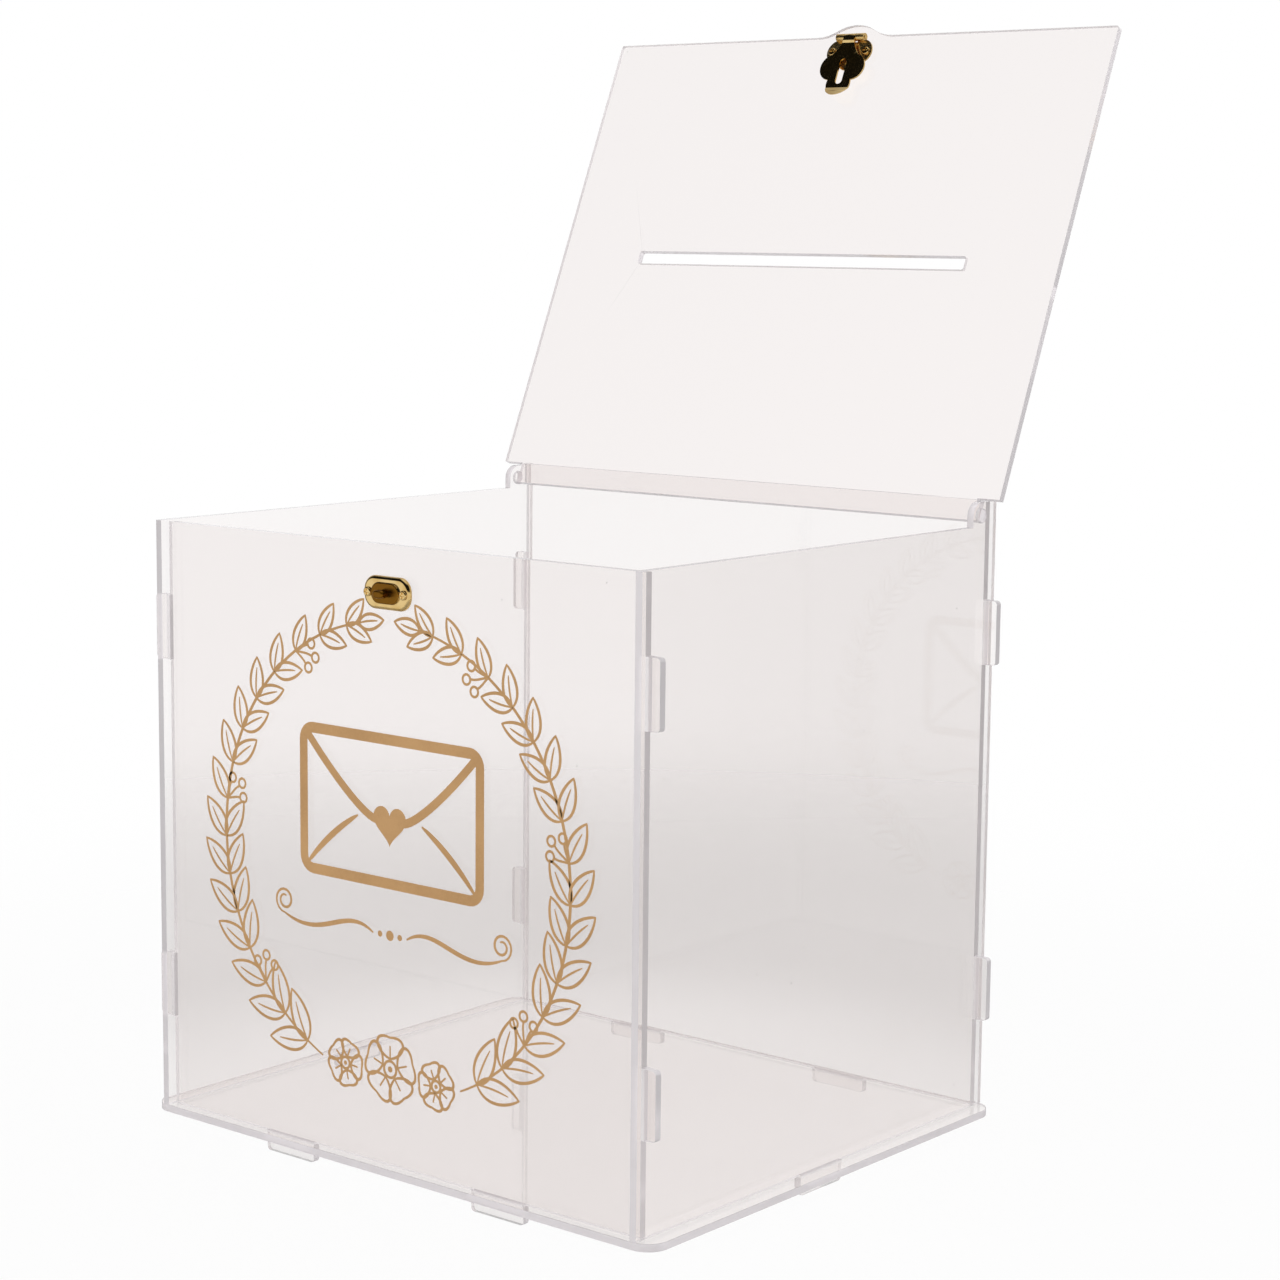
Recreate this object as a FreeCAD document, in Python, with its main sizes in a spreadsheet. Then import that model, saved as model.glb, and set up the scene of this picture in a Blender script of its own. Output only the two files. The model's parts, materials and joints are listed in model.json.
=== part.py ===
import FreeCAD, Part
import math
import os
from types import SimpleNamespace

import Sketcher

# Wedding card box: six clear sheets locked together by tabs, a lid that turns in the side panels' ears,
# a hasp on the lid and a turn lock on the front panel. Millimetres, +Z up, front towards -Y.
# The origin is on the floor under the middle of the box, and the lid is modelled leaning open on its stops.

# Driving dimensions: name, value, what it measures
SIZES = (
    ("sheet_thickness", 3.0, "every clear panel"),
    ("box_width", 250.0, "across the outer faces of the side panels"),
    ("box_depth", 222.0, "front to rear edges of the side panels"),
    ("side_height", 239.0, "side panels above the base plate"),
    ("base_overhang", 7.0, "base plate beyond each side panel"),
    ("base_corner_radius", 9.0, "corners of the base plate"),
    ("front_setback", 4.0, "front panel behind the side panels' front edges"),
    ("rear_setback", 2.5, "back panel ahead of the side panels' rear edges"),
    ("panel_clearance", 0.1, "between a tab and its slot, and between panels"),
    ("tab_length", 26.0, "every tab, along the panel's edge"),
    ("tab_reach", 5.0, "tab beyond the sheet it passes through"),
    ("tab_corner_radius", 1.5, "outer corners of a tab"),
    ("foot_spacing", 110.0, "between the two bottom tabs of the front and back panels"),
    ("upper_tab_drop", 43.0, "side panel's top edge down to the upper tab's middle"),
    ("lower_tab_rise", 49.5, "base plate up to the lower tab's middle"),
    ("lid_overhang", 7.0, "lid beyond each side panel"),
    ("lid_corner_radius", 1.0, "front corners of the lid"),
    ("open_angle", 113.0, "lid from closed to its stop, degrees"),
    ("pivot_height", 4.3, "lid's pivot axis above the side panels' top edges"),
    ("pivot_tab_width", 5.0, "lid's pivot tab"),
    ("pivot_clearance", 0.08, "pivot tab's corners inside the hole"),
    ("ear_rise", 9.8, "ears and back panel above the side panels' top edges"),
    ("ear_gap", 0.35, "lid beside and ahead of an ear"),
    ("stop_clearance", 0.1, "lid's shoulder above the ear it stops on"),
    ("back_clearance", 0.54, "open lid ahead of the back panel"),
    ("tongue_width", 40.0, "raised tongue at the lid's front edge"),
    ("tongue_height", 5.4, "tongue beyond the lid's front edge"),
    ("card_slot_length", 174.0, "card slot across the lid"),
    ("card_slot_width", 6.0, "card slot, front to rear"),
    ("card_slot_setback", 105.0, "slot's middle behind the lid's front edge"),
    ("card_slot_radius", 1.0, "corners of the card slot"),
    ("hasp_width", 23.6, "fixed plate of the hasp"),
    ("hasp_depth", 11.2, "fixed plate's side lobes, front to rear"),
    ("hasp_thickness", 0.8, "fixed plate"),
    ("hasp_tail_radius", 5.0, "round tail of the fixed plate, behind the leaf's slot"),
    ("hasp_tail_drop", 10.0, "pin to the tail's middle"),
    ("hasp_edge_gap", 1.35, "hasp's pin behind the lid's front edge"),
    ("hasp_screw_spacing", 17.7, "between the hasp's screws"),
    ("knuckle_diameter", 3.4, "knuckles round the hasp's pin"),
    ("knuckle_width", 14.6, "all three knuckles together"),
    ("knuckle_gap", 0.15, "between the knuckles"),
    ("knuckle_overlap", 0.65, "fixed plate's front edge behind the pin"),
    ("pin_diameter", 1.4, "hasp's pin"),
    ("pin_overhang", 0.3, "pin beyond each outer knuckle"),
    ("running_clearance", 0.05, "a pin, stem or screw in its hole, all round"),
    ("leaf_thickness", 0.8, "swinging leaf"),
    ("leaf_step", 0.5, "leaf's face behind the front of its knuckle"),
    ("leaf_fall_drop", 2.0, "pin to where the leaf starts to fall by that step"),
    ("leaf_fall_length", 1.0, "that fall, along the leaf"),
    ("leaf_root_width", 6.0, "leaf at its knuckle"),
    ("leaf_root_drop", 2.0, "pin to where the leaf starts to widen"),
    ("leaf_flare_radius", 14.0, "hollow curve from the root to the lobes"),
    ("leaf_flare_angle", 13.5, "where that curve meets a lobe, degrees past its top"),
    ("lobe_radius", 6.0, "side lobes of the leaf"),
    ("lobe_spacing", 11.2, "between the side lobes' middles"),
    ("lobe_drop", 14.5, "pin to the side lobes' middles"),
    ("tip_radius", 6.2, "end lobe of the leaf"),
    ("tip_drop", 22.3, "pin to the end lobe's middle"),
    ("lip_drop", 24.3, "pin to the bend of the lip"),
    ("lip_angle", 30.0, "lip bent outwards, degrees"),
    ("leaf_slot_drop", 10.5, "pin to the start of the leaf's slot"),
    ("leaf_slot_length", 12.0, "leaf's slot"),
    ("leaf_slot_clearance", 0.25, "slot beside the knob, each side"),
    ("leaf_clearance", 0.55, "folded leaf over the front panel"),
    ("lock_width", 23.6, "lock plate"),
    ("lock_height", 12.6, "lock plate, top to bottom"),
    ("lock_corner_radius", 5.5, "corners of the lock plate"),
    ("lock_thickness", 1.8, "lock plate"),
    ("lock_edge_radius", 1.3, "rounded front edge of the lock plate"),
    ("lock_screw_spacing", 18.4, "between the lock's screws"),
    ("boss_length", 14.4, "raised oval boss of the lock plate"),
    ("boss_height", 8.0, "boss, top to bottom"),
    ("boss_edge_radius", 0.5, "rounded front edge of the boss"),
    ("boss_clearance", 0.4, "boss behind the hanging leaf"),
    ("knob_length", 5.2, "turning head of the lock"),
    ("knob_width", 3.0, "turning head, across"),
    ("knob_depth", 2.5, "turning head, front to rear"),
    ("knob_edge_radius", 0.7, "rounded front edge of the head"),
    ("knob_clearance", 0.15, "knob and its retainer clear of what they turn against"),
    ("stem_diameter", 2.8, "knob's stem"),
    ("stem_overhang", 0.3, "stem beyond its retainer"),
    ("retainer_diameter", 6.0, "ring on the stem behind the panel"),
    ("retainer_thickness", 0.8, "ring on the stem"),
    ("screw_diameter", 2.0, "screws of the hasp and the lock"),
    ("screw_head_diameter", 3.6, "screw heads"),
    ("screw_head_height", 0.9, "screw heads"),
    ("screw_head_radius", 0.5, "rounded rim of a screw head"),
    ("screw_end_gap", 0.2, "screw's end short of the sheet's far face"),
    ("recess_length", 2.4, "cross recess in a screw head"),
    ("recess_width", 0.6, "arms of the cross recess"),
    ("recess_depth", 0.4, "cross recess"),
)


class Size:
    """A number together with the formula that ties it to the sheet."""

    def __init__(self, formula, value):
        self.formula = formula
        self.value = value

    def __add__(self, other):
        other = as_size(other)
        return Size(f"({self.formula} + {other.formula})", self.value + other.value)

    def __sub__(self, other):
        other = as_size(other)
        return Size(f"({self.formula} - {other.formula})", self.value - other.value)

    def __rsub__(self, other):
        return as_size(other) - self

    def __mul__(self, other):
        other = as_size(other)
        return Size(f"({self.formula} * {other.formula})", self.value * other.value)

    def __truediv__(self, other):
        other = as_size(other)
        return Size(f"({self.formula} / {other.formula})", self.value / other.value)

    def __neg__(self):
        return Size(f"(0 - {self.formula})", -self.value)


def as_size(thing):
    return thing if isinstance(thing, Size) else Size(str(float(thing)), float(thing))


def sine(angle):
    return Size(f"sin({angle.formula})", math.sin(math.radians(angle.value)))


def cosine(angle):
    return Size(f"cos({angle.formula})", math.cos(math.radians(angle.value)))


def root(square):
    return Size(f"sqrt({square.formula})", math.sqrt(square.value))


def larger(one, other):
    return Size(f"max({one.formula}; {other.formula})", max(one.value, other.value))


doc = FreeCAD.newDocument("CardBox")
sheet = doc.addObject("Spreadsheet::Sheet", "Sizes")
for row, (alias, value, meaning) in enumerate(SIZES, 1):
    sheet.set(f"A{row}", alias)
    sheet.set(f"B{row}", str(value))
    sheet.setAlias(f"B{row}", alias)
    sheet.set(f"C{row}", meaning)
doc.recompute()
size = SimpleNamespace(**{alias: Size(f"Sizes.{alias}", sheet.get(alias)) for alias, _, _ in SIZES})

# Places worked out from the driving dimensions
NOTHING = as_size(0)
RIGHT_ANGLE = as_size(90)
THIRD_OF_A_TURN = as_size(120)
SAME_PLACE = 1e-4
thickness = size.sheet_thickness
half_width = size.box_width / 2
half_depth = size.box_depth / 2
inner_half_width = half_width - thickness
base_top = size.tab_reach + thickness
panel_bottom = base_top + size.panel_clearance
side_top = base_top + size.side_height
ear_top = side_top + size.ear_rise
upper_tab = side_top - size.upper_tab_drop
lower_tab = base_top + size.lower_tab_rise
front_outer = size.front_setback - half_depth
front_middle = front_outer + thickness / 2
back_outer = half_depth - size.rear_setback
back_middle = back_outer - thickness / 2

# The lid's pivot: far enough ahead of the back panel for the lid to turn and to lean back over it
lean_sine = sine(size.open_angle)
lean_cosine = cosine(size.open_angle)
ear_over_pivot = size.ear_rise - size.pivot_height
pivot_radius = root(size.pivot_tab_width * size.pivot_tab_width + thickness * thickness) / 2
lean_room = (thickness / 2 - ear_over_pivot * lean_cosine) / lean_sine
pivot_y = back_outer - thickness - larger(lean_room, pivot_radius) - size.back_clearance
pivot_z = side_top + size.pivot_height
pivot_hole_radius = pivot_radius + size.pivot_clearance

# The lid, measured from its pivot: the shoulders that stop it on the ears, and its front edge
shoulder = (ear_over_pivot + size.stop_clearance - thickness / 2 * lean_cosine) / lean_sine
ear_front = pivot_y - shoulder + size.ear_gap
lid_reach = pivot_y + half_depth
lid_half_width = half_width + size.lid_overhang
neck_half_width = inner_half_width - size.ear_gap

# The hasp in the lid's frame: its pin, and the leaf that lies along the lid
knuckle_radius = size.knuckle_diameter / 2
pin_reach = lid_reach - size.hasp_edge_gap
pin_depth = thickness / 2 + size.running_clearance + knuckle_radius
knuckle_front = pin_depth + knuckle_radius
leaf_outer = knuckle_front - size.leaf_step
leaf_inner = leaf_outer - size.leaf_thickness
leaf_slot_end = size.leaf_slot_drop + size.leaf_slot_length
front_top = pivot_z - leaf_outer - size.leaf_clearance

# The lock, measured out from the front panel's face: the leaf hangs between the boss and the knob
leaf_face = front_outer - (pivot_y - pin_reach) + leaf_outer - pin_depth
boss_face = leaf_face - size.leaf_thickness - size.boss_clearance
knob_back = leaf_face + size.knob_clearance
knob_drop = leaf_slot_end - size.knob_length / 2 - size.knob_clearance
lock_z = pivot_z - pin_depth - knob_drop
screw_hole_radius = size.screw_diameter / 2 + size.running_clearance
stem_hole_radius = size.stem_diameter / 2 + size.running_clearance
retainer_face = thickness + size.knob_clearance
retainer_back = retainer_face + size.retainer_thickness


def bind(target, name, measure):
    target.setExpression(name, measure.formula)


def make_body(label, x, y, z, axis, angle):
    """A body of its own, turned by an angle about an axis and set at a place."""
    body = doc.addObject("PartDesign::Body", label)
    body.Label = label
    body.AllowCompound = True
    body.Placement = FreeCAD.Placement(FreeCAD.Vector(), FreeCAD.Rotation(FreeCAD.Vector(*axis), angle.value))
    bind(body, "Placement.Base.x", x)
    bind(body, "Placement.Base.y", y)
    bind(body, "Placement.Base.z", z)
    if angle.value:
        bind(body, "Placement.Rotation.Angle", angle)
    return body


def lid_body(label):
    """A body in the lid's frame: x across, y from the pivot to the front edge, z out of the underside."""
    return make_body(label, NOTHING, pivot_y, pivot_z, (1, 0, 0), 180 - size.open_angle)


def lock_body(label):
    """A body in the lock's frame: x across, y up, z out of the front panel's face."""
    return make_body(label, NOTHING, front_outer, lock_z, (1, 0, 0), RIGHT_ANGLE)


class Outline:
    """A sketch whose points and radii are all tied to the sheet."""

    def __init__(self, body, name, plane="XY_Plane", lift=None):
        self.sketch = body.newObject("Sketcher::SketchObject", f"{body.Label}_{name}")
        support = next(item for item in body.Origin.OriginFeatures if item.Role == plane)
        self.sketch.AttachmentSupport = [(support, "")]
        self.sketch.MapMode = "FlatFace"
        if lift is not None:
            bind(self.sketch, "AttachmentOffset.Base.z", lift)

    def tie(self, kind, places, measure):
        index = self.sketch.addConstraint(Sketcher.Constraint(kind, *places, measure.value))
        name = f"size_{index}"
        self.sketch.renameConstraint(index, name)
        bind(self.sketch, f"Constraints.{name}", measure)

    def fix(self, curve, end, x, y):
        """Ties a point to its distances from the sketch's origin, or to an axis that it lies on."""
        for kind, axis, measure in (("DistanceX", -2, x), ("DistanceY", -1, y)):
            if measure is NOTHING:
                self.sketch.addConstraint(Sketcher.Constraint("PointOnObject", curve, end, axis))
            else:
                self.tie(kind, (-1, 1, curve, end), measure)

    def loop(self, points):
        """A closed loop of (x, y) or (x, y, bend) points; a bend is the radius of the edge that follows,
        positive where it turns left and negative where it turns right."""
        ends = []
        for point, following in zip(points, points[1:] + points[:1]):
            start = FreeCAD.Vector(point[0].value, point[1].value, 0)
            stop = FreeCAD.Vector(following[0].value, following[1].value, 0)
            if len(point) == 2:
                ends.append((self.sketch.addGeometry(Part.LineSegment(start, stop)), 1, 2))
                continue
            bend = point[2]
            left = bend.value > 0
            curve = self.sketch.addGeometry(short_arc(start, stop, bend.value))
            self.tie("Radius", (curve,), bend if left else -bend)
            ends.append((curve, 1, 2) if left else (curve, 2, 1))
        for (curve, _, stop), (following, start, _) in zip(ends, ends[1:] + ends[:1]):
            self.sketch.addConstraint(Sketcher.Constraint("Coincident", curve, stop, following, start))
        for point, (curve, start, _) in zip(points, ends):
            self.fix(curve, start, point[0], point[1])

    def circle(self, x, y, radius):
        centre = FreeCAD.Vector(x.value, y.value, 0)
        curve = self.sketch.addGeometry(Part.Circle(centre, FreeCAD.Vector(0, 0, 1), radius.value))
        self.tie("Radius", (curve,), radius)
        self.fix(curve, 3, x, y)

    def rectangle(self, x, y, width, height):
        left, right = x - width / 2, x + width / 2
        low, high = y - height / 2, y + height / 2
        self.loop([(left, low), (right, low), (right, high), (left, high)])

    def rounded_rectangle(self, x, y, width, height, radius):
        left, right = x - width / 2, x + width / 2
        low, high = y - height / 2, y + height / 2
        self.loop([
            (left + radius, low), (right - radius, low, radius),
            (right, low + radius), (right, high - radius, radius),
            (right - radius, high), (left + radius, high, radius),
            (left, high - radius), (left, low + radius, radius),
        ])

    def stadium(self, x, y, length, width):
        """A strip along x with round ends, each end drawn as two quarter circles."""
        radius = width / 2
        left, right = x - length / 2, x + length / 2
        self.loop([
            (left + radius, y - radius), (right - radius, y - radius, radius), (right, y, radius),
            (right - radius, y + radius), (left + radius, y + radius, radius), (left, y, radius),
        ])


def short_arc(start, stop, bend):
    """The arc of under a half circle from start to stop, turning left if bend is positive."""
    radius = abs(bend)
    chord = stop - start
    half = chord.Length / 2
    side = FreeCAD.Vector(-chord.y, chord.x, 0).normalize() * math.copysign(1, bend)
    centre = (start + stop) * 0.5 + side * math.sqrt(max(radius * radius - half * half, 0))
    first, last = (start, stop) if bend > 0 else (stop, start)
    angles = [math.atan2(point.y - centre.y, point.x - centre.x) for point in (first, last)]
    return Part.ArcOfCircle(Part.Circle(centre, FreeCAD.Vector(0, 0, 1), radius), *angles)


def pad(body, outline, length, both_ways=False, backwards=False):
    feature = body.newObject("PartDesign::Pad", outline.sketch.Label + "_pad")
    feature.Profile = outline.sketch
    bind(feature, "Length", length)
    feature.Midplane = both_ways
    feature.Reversed = backwards
    return feature


def pocket_through(body, outline):
    feature = body.newObject("PartDesign::Pocket", outline.sketch.Label + "_pocket")
    feature.Profile = outline.sketch
    feature.Type = "ThroughAll"
    feature.Midplane = True
    return feature


def pocket(body, outline, depth):
    feature = body.newObject("PartDesign::Pocket", outline.sketch.Label + "_pocket")
    feature.Profile = outline.sketch
    bind(feature, "Length", depth)
    return feature


def round_rim(body, radius, height, wanted):
    """Rounds the edges at a height of the body's frame whose middles pass a test."""
    doc.recompute()
    base = body.Tip
    names = []
    for index, edge in enumerate(base.Shape.Edges, 1):
        middle = edge.valueAt((edge.FirstParameter + edge.LastParameter) / 2)
        level = all(abs(point.z - height.value) < SAME_PLACE for point in (middle, edge.Vertexes[0].Point))
        if level and wanted(middle):
            names.append(f"Edge{index}")
    feature = body.newObject("PartDesign::Fillet", body.Label + "_rim")
    feature.Base = (base, names)
    bind(feature, "Radius", radius)
    return feature


def tab_right(edge, middle, end):
    """Points of a tab on a right-hand edge, going up."""
    low, high = middle - size.tab_length / 2, middle + size.tab_length / 2
    radius = size.tab_corner_radius
    return [
        (edge, low), (end - radius, low, radius), (end, low + radius),
        (end, high - radius, radius), (end - radius, high), (edge, high),
    ]


def tab_left(edge, middle, end):
    """Points of a tab on a left-hand edge, going down."""
    low, high = middle - size.tab_length / 2, middle + size.tab_length / 2
    radius = size.tab_corner_radius
    return [
        (edge, high), (end + radius, high, radius), (end, high - radius),
        (end, low + radius, radius), (end + radius, low), (edge, low),
    ]


def foot(edge, middle):
    """Points of a tab that stands through the base plate to the floor, going right."""
    left, right = middle - size.tab_length / 2, middle + size.tab_length / 2
    radius = size.tab_corner_radius
    return [
        (left, edge), (left, radius, radius), (left + radius, NOTHING),
        (right - radius, NOTHING, radius), (right, radius), (right, edge),
    ]


def slot(outline, x, y, along_x):
    """A slot for a tab, clear of it all round."""
    long_side = size.tab_length + size.panel_clearance * 2
    short_side = thickness + size.panel_clearance * 2
    outline.rectangle(x, y, *((long_side, short_side) if along_x else (short_side, long_side)))


def base_plate():
    body = make_body("base_plate", NOTHING, NOTHING, size.tab_reach, (0, 0, 1), NOTHING)
    plan = Outline(body, "plan")
    width = size.box_width + size.base_overhang * 2
    plan.rounded_rectangle(NOTHING, NOTHING, width, size.box_depth, size.base_corner_radius)
    for middle in (front_middle, back_middle):
        for x in (-size.foot_spacing / 2, size.foot_spacing / 2):
            slot(plan, x, middle, along_x=True)
    for x in (thickness / 2 - half_width, half_width - thickness / 2):
        slot(plan, x, NOTHING, along_x=False)
    pad(body, plan, thickness)
    return body


def tabbed_panel(label, outer_y, top):
    """A panel between the side panels, with feet through the base plate and tabs through the side panels."""
    body = make_body(label, NOTHING, outer_y, NOTHING, (1, 0, 0), RIGHT_ANGLE)
    face = Outline(body, "face")
    edge = inner_half_width - size.panel_clearance
    end = half_width + size.tab_reach
    points = [(-edge, panel_bottom)]
    for middle in (-size.foot_spacing / 2, size.foot_spacing / 2):
        points += foot(panel_bottom, middle)
    points.append((edge, panel_bottom))
    for middle in (lower_tab, upper_tab):
        points += tab_right(edge, middle, end)
    points += [(edge, top), (-edge, top)]
    for middle in (upper_tab, lower_tab):
        points += tab_left(-edge, middle, -end)
    face.loop(points)
    return body, face


def front_panel():
    body, face = tabbed_panel("front_panel", front_outer, front_top)
    face.circle(NOTHING, lock_z, stem_hole_radius)
    for x in (-size.lock_screw_spacing / 2, size.lock_screw_spacing / 2):
        face.circle(x, lock_z, screw_hole_radius)
    pad(body, face, thickness, backwards=True)
    return body


def back_panel():
    body, face = tabbed_panel("back_panel", back_outer, ear_top)
    pad(body, face, thickness)
    return body


def side_panel(label, inner_x):
    """A side panel with its foot, its ear and the slots for the front and back panels' tabs.
    Its sketch has x to the rear and y up."""
    body = make_body(label, inner_x, NOTHING, NOTHING, (1, 1, 1), THIRD_OF_A_TURN)
    face = Outline(body, "face")
    face.loop(
        [(-half_depth, panel_bottom)]
        + foot(panel_bottom, NOTHING)
        + [
            (half_depth, panel_bottom), (half_depth, ear_top),
            (ear_front + ear_over_pivot, ear_top, ear_over_pivot), (ear_front, pivot_z),
            (ear_front, side_top), (-half_depth, side_top),
        ]
    )
    for y in (front_middle, back_middle):
        for z in (lower_tab, upper_tab):
            slot(face, y, z, along_x=False)
    face.circle(pivot_y, pivot_z, pivot_hole_radius)
    pad(body, face, thickness)
    return body


def lid_panel():
    body = lid_body("lid_panel")
    face = Outline(body, "face")
    tab_edge = size.pivot_tab_width / 2
    corner = size.lid_corner_radius
    tongue_half = size.tongue_width / 2
    tongue_bend = (tongue_half * tongue_half / size.tongue_height + size.tongue_height) / 4
    tongue_middle = lid_reach + size.tongue_height / 2
    face.loop([
        (-half_width, -tab_edge), (half_width, -tab_edge), (half_width, tab_edge),
        (neck_half_width, tab_edge), (neck_half_width, shoulder), (lid_half_width, shoulder),
        (lid_half_width, lid_reach - corner, corner), (lid_half_width - corner, lid_reach),
        (tongue_half, lid_reach, -tongue_bend), (tongue_half / 2, tongue_middle, tongue_bend),
        (-tongue_half / 2, tongue_middle, -tongue_bend), (-tongue_half, lid_reach),
        (corner - lid_half_width, lid_reach, corner), (-lid_half_width, lid_reach - corner),
        (-lid_half_width, shoulder), (-neck_half_width, shoulder),
        (-neck_half_width, tab_edge), (-half_width, tab_edge),
    ])
    face.rounded_rectangle(NOTHING, lid_reach - size.card_slot_setback, size.card_slot_length,
                           size.card_slot_width, size.card_slot_radius)
    for x in (-size.hasp_screw_spacing / 2, size.hasp_screw_spacing / 2):
        face.circle(x, hasp_middle(), screw_hole_radius)
    pad(body, face, thickness, both_ways=True)
    return body


def hasp_middle():
    """The middle of the hasp's fixed plate, from the lid's pivot."""
    return pin_reach - size.knuckle_overlap - size.hasp_depth / 2


def hasp_plate():
    body = lid_body("hasp_plate")
    plan = Outline(body, "plan", lift=thickness / 2)
    plan.stadium(NOTHING, hasp_middle(), size.hasp_width, size.hasp_depth)
    for x in (-size.hasp_screw_spacing / 2, size.hasp_screw_spacing / 2):
        plan.circle(x, hasp_middle(), screw_hole_radius)
    pad(body, plan, size.hasp_thickness)
    tail = Outline(body, "tail", lift=thickness / 2)
    tail.circle(NOTHING, pin_reach - size.hasp_tail_drop, size.hasp_tail_radius)
    pad(body, tail, size.hasp_thickness)
    knuckle = Outline(body, "knuckle", "YZ_Plane")
    knuckle.circle(pin_reach, pin_depth, knuckle_radius)
    pad(body, knuckle, size.knuckle_width, both_ways=True)
    room = Outline(body, "leaf_room")
    room_width = size.leaf_root_width + size.knuckle_gap * 2
    room.rectangle(NOTHING, pin_reach, room_width, size.knuckle_diameter + size.knuckle_gap * 2)
    pocket_through(body, room)
    bore_for_pin(body)
    return body


def bore_for_pin(body):
    bore = Outline(body, "bore", "YZ_Plane")
    bore.circle(pin_reach, pin_depth, size.pin_diameter / 2 + size.running_clearance)
    pocket_through(body, bore)


def leaf_outline(outline):
    """The leaf's plan: a root that flares into two side lobes and an end lobe, with its slot."""
    lobe_x = size.lobe_spacing / 2
    root_x = size.leaf_root_width / 2
    flare_x = lobe_x + size.lobe_radius * sine(size.leaf_flare_angle)
    flare_drop = size.lobe_drop - size.lobe_radius * cosine(size.leaf_flare_angle)
    # The notch is where a side lobe's circle meets the end lobe's
    rise = size.tip_drop - size.lobe_drop
    apart = root(lobe_x * lobe_x + rise * rise)
    tip_square = size.tip_radius * size.tip_radius
    along = (apart * apart + tip_square - size.lobe_radius * size.lobe_radius) / (apart * 2)
    beside = root(tip_square - along * along)
    notch_x = (along * lobe_x + beside * rise) / apart
    notch_drop = size.tip_drop - (along * rise - beside * lobe_x) / apart

    def at(x, drop, *bend):
        return (x, pin_reach - drop, *bend)

    outline.loop([
        at(NOTHING, size.tip_drop + size.tip_radius, size.tip_radius),
        at(notch_x, notch_drop, size.lobe_radius),
        at(flare_x, flare_drop, -size.leaf_flare_radius),
        at(root_x, size.leaf_root_drop),
        at(root_x, -knuckle_radius),
        at(-root_x, -knuckle_radius),
        at(-root_x, size.leaf_root_drop, -size.leaf_flare_radius),
        at(-flare_x, flare_drop, size.lobe_radius),
        at(-notch_x, notch_drop, size.tip_radius),
    ])
    slot_radius = size.knob_width / 2 + size.leaf_slot_clearance
    slot_top = size.leaf_slot_drop + slot_radius
    slot_bottom = leaf_slot_end - slot_radius
    outline.loop([
        at(NOTHING, leaf_slot_end, slot_radius), at(slot_radius, slot_bottom),
        at(slot_radius, slot_top, slot_radius), at(NOTHING, size.leaf_slot_drop, slot_radius),
        at(-slot_radius, slot_top), at(-slot_radius, slot_bottom, slot_radius),
    ])


def hasp_leaf():
    """The leaf is a strip bent at its lip, trimmed to its plan, with the middle knuckle at its root."""
    body = lid_body("hasp_leaf")
    strip = Outline(body, "strip", "YZ_Plane")
    end_drop = size.tip_drop + size.tip_radius * 2
    bend = pin_reach - size.lip_drop
    end = pin_reach - end_drop
    lip_rise = (end_drop - size.lip_drop) * sine(size.lip_angle) / cosine(size.lip_angle)
    fall_start = pin_reach - size.leaf_fall_drop
    fall_end = fall_start - size.leaf_fall_length
    strip.loop([
        (end, leaf_inner + lip_rise), (bend, leaf_inner), (pin_reach, leaf_inner),
        (pin_reach, knuckle_front), (fall_start, knuckle_front), (fall_end, leaf_outer),
        (bend, leaf_outer), (end, leaf_outer + lip_rise),
    ])
    strip_width = size.lobe_spacing + size.lobe_radius * 4
    pad(body, strip, strip_width, both_ways=True)
    trim = Outline(body, "trim")
    trim.rectangle(NOTHING, pin_reach - end_drop / 2, strip_width * 2, end_drop * 2)
    leaf_outline(trim)
    pocket_through(body, trim)
    knuckle = Outline(body, "knuckle", "YZ_Plane")
    knuckle.circle(pin_reach, pin_depth, knuckle_radius)
    pad(body, knuckle, size.leaf_root_width, both_ways=True)
    bore_for_pin(body)
    return body


def hasp_pin():
    body = lid_body("hasp_pin")
    section = Outline(body, "section", "YZ_Plane")
    section.circle(pin_reach, pin_depth, size.pin_diameter / 2)
    pad(body, section, size.knuckle_width + size.pin_overhang * 2, both_ways=True)
    return body


def lock_plate():
    body = lock_body("lock_plate")
    plan = Outline(body, "plan")
    plan.rounded_rectangle(NOTHING, NOTHING, size.lock_width, size.lock_height, size.lock_corner_radius)
    pad(body, plan, size.lock_thickness)
    boss = Outline(body, "boss")
    boss.stadium(NOTHING, NOTHING, size.boss_length, size.boss_height)
    pad(body, boss, boss_face)
    holes = Outline(body, "holes")
    holes.circle(NOTHING, NOTHING, stem_hole_radius)
    for x in (-size.lock_screw_spacing / 2, size.lock_screw_spacing / 2):
        holes.circle(x, NOTHING, screw_hole_radius)
    pocket_through(body, holes)
    half_lock_width = size.lock_width.value / 2
    half_lock_height = size.lock_height.value / 2
    corner = size.lock_corner_radius.value

    def on_outer_edge(point):
        past_x = max(abs(point.x) - half_lock_width + corner, 0)
        past_y = max(abs(point.y) - half_lock_height + corner, 0)
        return abs(math.hypot(past_x, past_y) - corner) < SAME_PLACE

    def outside_stem_hole(point):
        return math.hypot(point.x, point.y) > stem_hole_radius.value + SAME_PLACE

    round_rim(body, size.lock_edge_radius, size.lock_thickness, on_outer_edge)
    round_rim(body, size.boss_edge_radius, boss_face, outside_stem_hole)
    return body


def lock_knob():
    body = lock_body("lock_knob")
    head = Outline(body, "head", lift=knob_back)
    head.stadium(NOTHING, NOTHING, size.knob_length, size.knob_width)
    pad(body, head, size.knob_depth)
    round_rim(body, size.knob_edge_radius, knob_back + size.knob_depth, lambda point: True)
    stem = Outline(body, "stem", lift=knob_back)
    stem.circle(NOTHING, NOTHING, size.stem_diameter / 2)
    pad(body, stem, knob_back + retainer_back + size.stem_overhang, backwards=True)
    return body


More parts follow.
